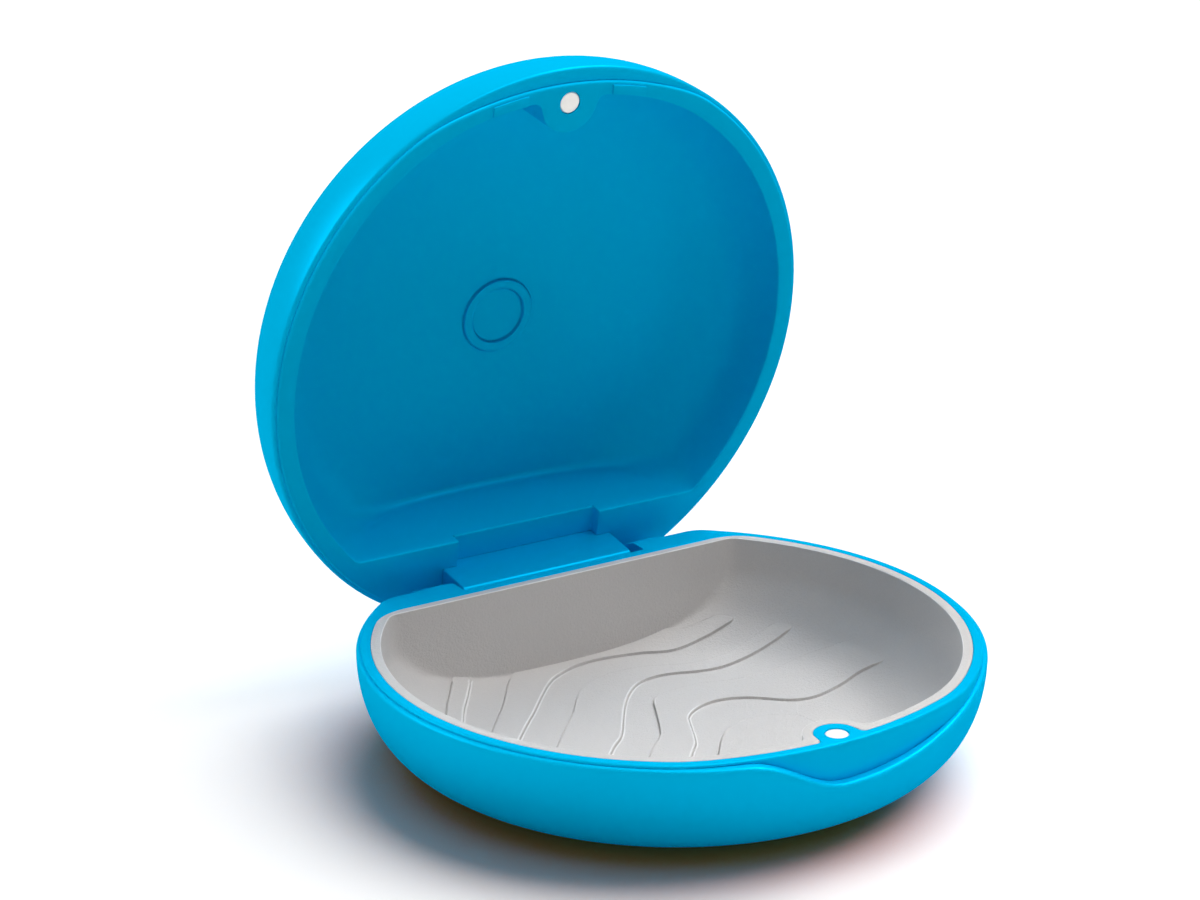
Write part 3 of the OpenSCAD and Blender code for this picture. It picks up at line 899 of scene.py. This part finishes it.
def makePad(side):
    # one low pad beside the magnet, in the gap between the shut halves
    look = lidLining
    across = side * np.linspace(look["padFrom"], look["padFrom"] + look["padWidth"], look["padPoints"])
    outline = []
    for reach, line in ((case["frontRadius"] - look["padEdge"], across),
                        (lidHollow["front"] + look["padLip"], across[::-1])):
        outline += [(x, frontCentre - math.sqrt(reach ** 2 - x ** 2)) for x in line]
    low, high = lidLand - look["padHeight"], lidLand + look["padHeight"]
    return prism("pad", outline, low, high, look["padRound"], segments=2, along=2)


def cutLining(piece):
    # adds the pads, then cuts the notch and the slot for the hinge, and the magnet's seat
    look = lidLining
    faceY = hingeY - look["knuckleFront"]
    wide = 2 * case["radius"]
    half, back, floor = look["notchHalf"], lidHollow["back"], lidLand + look["notchDepth"]
    far, end = look["cutterReach"], faceY + look["notchLap"]
    notch = block("notch", (-half, back - far, lidLand - far), (half, end, floor), look["notchFillet"])
    soft = look["notchRound"]
    edges = [edgeRound((back, floor), (1, 1), soft, -half, half, 0)]
    for side in (-1, 1):
        edges.append(edgeRound((lidLand, side * half), (1, side), soft, back - overlap, end, 1))
        edges.append(edgeRound((side * half, back), (side, 1), soft, lidLand - overlap, floor + soft, 2))
    slot = block("slot", (-look["knuckleHalf"] - fit, faceY - fit, lidLand - far),
                 (look["knuckleHalf"] + fit, wide, lidLand + look["plate"] + far))
    seatTop = magnetDisc["height"] + 2 * magnetDisc["sink"]
    seat = [(magnetRadius + fit, -overlap), (magnetRadius + fit, seatTop)]
    seat = turnedPiece("seat", seat, (0, magnetY, lidLand))
    combine(piece, "UNION", makePad(-1), makePad(1))
    combine(piece, "DIFFERENCE", notch, *edges, slot, seat)


def makeLidLining():
    look = lidLining
    front = case["frontRadius"]
    loops = [(circleLoop(lidRing["outer"], lidRing["points"]), 1, 0),
             (circleLoop(lidRing["inner"], lidRing["points"]), -1, 0)]
    hollowPoints, hollowFaces, _ = hollowSurface(lidHollow, loops, look["lipRound"])
    hollowPoints = hollowPoints + (0, 0, lidLand)
    rings = [hollowPoints[:turns.size]]
    lip = hollowPoints[:turns.size] * (1, 1, 0)
    for inset, rise in rounding(look["lipRound"], steps=5)[1:]:
        rings.append(lip + outward * inset + (0, 0, lidLand + look["lipRound"] - rise))
    land = planShape(landRadius, front, case["back"] - case["rimWidth"], look["corner"])
    ridge = look["ridgeRound"]
    rings += edgeRings(land, ridge, lidLand + ridge, steps=6, up=-1)[::-1]
    rings.append(planRing(land, 0, lidRim - hair))
    bowl, plan = (skirtRadius, domeDepth - wall - fit, 0), (front, skirtBack, look["corner"])
    for height in (lidRim - hair, lidLand + look["skirtMiddle"], lidLand + look["plate"]):
        rings.append(bowlRing(bowl, plan, max(height - lidRim, 0), height, hair))
    depth, low = look["cavity"] + look["wall"] - rimStep, look["plate"] - rimStep
    bowl = (lidHollow["radius"] + look["wall"], depth, 0)
    plan = (front, lidHollow["back"] + look["wall"], look["corner"])
    for drop in low + bowlDrops(depth, look["rows"])[:-1] * (1 - low / depth):
        rings.append(bowlRing(bowl, plan, drop, lidRim + drop, 2 * hair))
    points, faces = loft(rings, None, (0, 0, lidRim + depth))
    sew(points, faces, hollowPoints, [f[::-1] for f in hollowFaces], 0)
    piece = newMesh("lid_lining", points, faces)
    cutLining(piece)
    settle(piece, "lid", liningFinish, "lid_liner", sharp=40)


# Hinge: the knuckle block of the lid, its pin and the two bushes

hingeParts = {
    "root": 1.0, "edge": 0.5, "nose": 0.6, "pinRadius": 0.75, "bushRadius": 1.48, "play": 0.03,
    "chamfer": 0.12,
}
earStart = baseFrame["pocketHalf"]
earEnd = earStart + baseFrame["earLength"]


def makeKnuckle():
    look, lining = hingeParts, lidLining
    reach, front = lining["knuckleRadius"], hingeY - lining["knuckleFront"]
    top = lidLand + lining["plate"] + look["root"]
    rise = math.degrees(math.acos((skirtBack - hingeY) / reach))
    nose = (front + look["nose"], hingeZ - reach + look["nose"])
    section = [(front, top)] + roundSection(nose, look["nose"], 180, 270, steps=8)
    section += roundSection((hingeY, hingeZ), reach, 270, 360 + rise, steps=30) + [(skirtBack, top)]
    half = lining["knuckleHalf"]
    knuckle = prism("hinge_knuckle", section, -half, half, look["edge"], segments=4)
    settle(knuckle, "lid", hingeFinish, "hinge_block")


def makePin():
    soft, radius, end = hingeParts["chamfer"], hingeParts["pinRadius"], earEnd
    section = [(radius - soft, -end), (radius, soft - end), (radius, end - soft), (radius - soft, end)]
    rod = turnedPiece("hinge_rod", section, hingeCentre, alongX=True)
    settle(rod, "lid", pinFinish, "hinge_pin")


def makeBush(name, side):
    look, low, high = hingeParts, earStart, earEnd
    soft, outer, inner = look["chamfer"], look["bushRadius"], look["pinRadius"] + look["play"]
    section = [(inner + soft, low), (outer - soft, low), (outer, low + soft), (outer, high - soft),
               (outer - soft, high), (inner + soft, high), (inner, high - soft), (inner, low + soft)]
    section = [(radius, side * along) for radius, along in section[::side]]
    bush = turnedPiece("bush_" + name, section, hingeCentre, alongX=True, tube=True)
    settle(bush, "base", bushFinish, "hinge_bush_" + name)


# Magnets: plated discs with a small chamfer

magnetDisc = {"height": 2.0, "sink": 0.1, "chamfer": 0.14}


def makeMagnet(body, bottom):
    soft, height = magnetDisc["chamfer"], magnetDisc["height"]
    section = [(magnetRadius - soft, 0), (magnetRadius, soft), (magnetRadius, height - soft),
               (magnetRadius - soft, height)]
    disc = turnedPiece(body + "_magnet_disc", section, (0, magnetY, bottom))
    settle(disc, body, magnetFinish, body + "_magnet")


makeBaseShell()
makeBaseFrame()
makeTray()
makeLidShell()
makeLidLining()
makeKnuckle()
makePin()
makeBush("left", -1)
makeBush("right", 1)
makeMagnet("base", magnetLow.z / mm)
makeMagnet("lid", lidLand + magnetDisc["sink"])
print("pieces made")


# Floor, light and camera

# the colours called shown are for the camera and for reflections, and the others light the case
# the near colour, with its reach, samples, mix and ways, is a painted shade tint for the floor where the case
# occludes it
studio = {
    "floorSize": 6.0, "floorDrop": 0.02, "floorColour": (0.72, 0.72, 0.72, 1.0),
    "floorShown": (1.1, 1.09, 1.08, 1.0), "floorShadeTint": (1.55, 0.34, 0.08, 1.0),
    "nearReach": 50, "nearSamples": 16, "nearMix": 1.7,
    "nearWays": [((-0.9, -0.44, 0.0), -30, 22), ((0.0, -1.0, 0.0), -55, -15)],
    "skyLow": (0.09, 0.09, 0.09, 1.0), "skyHigh": (0.2, 0.2, 0.2, 1.0), "skyShown": (1.0, 1.0, 1.0, 1.0),
}
# soft lamps: the way towards each one, its power, how wide it looks, what it lights and what shades that;
# crest only picks out the ridge of the lid, and the last two only give the floor its shadow
lamps = {
    "overhead": dict(towards=(0.08, -0.24, 1.0), power=0.75, angle=24, lights="case", blockers="case"),
    "key": dict(towards=(0.62, 0.12, 0.92), power=1.9, angle=30, lights="case", blockers="case"),
    "glint": dict(towards=(0.49, -0.4, 0.78), power=0.4, angle=12, lights="case", blockers="case"),
    "bounce": dict(towards=(-0.2, -1.0, -0.25), power=0.4, angle=60, lights="base", blockers="base"),
    "crest": dict(towards=(0.05, -0.15, 0.99), power=1.3, angle=6, lights="lining", blockers="case"),
    "behind": dict(towards=(-0.75, 0.6, 0.5), power=1.3, angle=40, lights="case", blockers="case"),
    "shadow": dict(towards=(1.0, 0.3, 1.5), power=1.9, angle=60, lights="floor", blockers="base"),
    "wide_shadow": dict(towards=(1.0, 0.1, 1.5), power=1.6, angle=60, lights="floor", blockers="case"),
}
camera = {
    "place": (-217.25, -325.92, 176.48), "azimuth": -32.327, "elevation": 19.044, "lens": 97.38, "sensor": 36,
    "clip": 10,
}


def seenDirectly(finish):
    # 1 where the camera, a reflection or a clear surface looks at it
    seen, gloss, clear = [finish.node("ShaderNodeLightPath", {}, {}, "Is %s Ray" % kind)
                          for kind in ("Camera", "Glossy", "Transmission")]
    return seen.maths("MAXIMUM", seen.maths("MAXIMUM", seen, gloss), clear)


def makeFloor():
    size = studio["floorSize"] / 2
    corners = [(-size, -size, 0), (size, -size, 0), (size, size, 0), (-size, size, 0)]
    floor = newMesh("floor", corners, [(0, 1, 2, 3)])
    floor.location.z = -studio["floorDrop"] * mm
    paint = Finish("floor_white")
    # painted shade: near the case, where the floor is occluded and on its shadow side, the colour turns
    # warmer and darker in green and blue, against the blue that the case throws into its own shadow
    clear = paint.node("ShaderNodeAmbientOcclusion", {"samples": studio["nearSamples"]}, {
        "Distance": studio["nearReach"] * mm}, "AO")
    shade = 1 - clear
    shadeTint = shade * shade * studio["nearMix"]
    place = paint.node("ShaderNodeNewGeometry", {}, {}, "Position")
    for way, low, high in studio["nearWays"]:
        far = paint.node("ShaderNodeVectorMath", {"operation": "DOT_PRODUCT"}, {0: place, 1: way}, "Value")
        shadeTint = shadeTint * paint.node("ShaderNodeMapRange", {"interpolation_type": "SMOOTHSTEP"}, {
            "Value": far, "From Min": low * mm, "From Max": high * mm})
    shown = paint.blend(shadeTint, studio["floorShown"], studio["floorShadeTint"])
    colour = paint.blend(seenDirectly(paint), studio["floorColour"], shown)
    surface = paint.node("ShaderNodeBsdfDiffuse", {}, {"Color": colour})
    paint.node("ShaderNodeOutputMaterial", {}, {"Surface": surface})
    floor.data.materials.append(paint.material)
    groups["floor"].objects.link(floor)


def makeSky():
    # brighter overhead, and plain white where it is seen
    world = bpy.data.worlds.new("studio")
    scene.world = world
    world.use_nodes = True
    sky = Finish("studio", world.node_tree)
    aim = sky.node("ShaderNodeTexCoord", {}, {}, "Generated")
    height = sky.node("ShaderNodeSeparateXYZ", {}, {"Vector": aim}, "Z")
    height = height.maths("MAXIMUM", height, 0.0)
    light = sky.blend(height * height, studio["skyLow"], studio["skyHigh"])
    colour = sky.blend(seenDirectly(sky), light, studio["skyShown"])
    surface = sky.node("ShaderNodeBackground", {}, {"Color": colour})
    sky.node("ShaderNodeOutputWorld", {}, {"Surface": surface})


def makeLamps():
    for name, lamp in lamps.items():
        sun = bpy.data.objects.new(name, bpy.data.lights.new(name, "SUN"))
        sun.data.energy, sun.data.angle = lamp["power"], math.radians(lamp["angle"])
        sun.rotation_euler = Vector(lamp["towards"]).to_track_quat("Z", "Y").to_euler()
        sun.light_linking.receiver_collection = groups[lamp["lights"]]
        sun.light_linking.blocker_collection = groups[lamp["blockers"]]
        scene.collection.objects.link(sun)


def makeCamera():
    look = bpy.data.objects.new("camera", bpy.data.cameras.new("camera"))
    look.data.lens, look.data.sensor_width = camera["lens"], camera["sensor"]
    look.data.clip_start = camera["clip"] * mm
    look.location = [c * mm for c in camera["place"]]
    look.rotation_euler = (math.radians(90 - camera["elevation"]), 0, math.radians(camera["azimuth"]))
    scene.collection.objects.link(look)
    scene.camera = look


makeFloor()
makeSky()
makeLamps()
makeCamera()
scene.view_settings.view_transform = "Standard"
print("studio made")

bpy.context.view_layer.update()
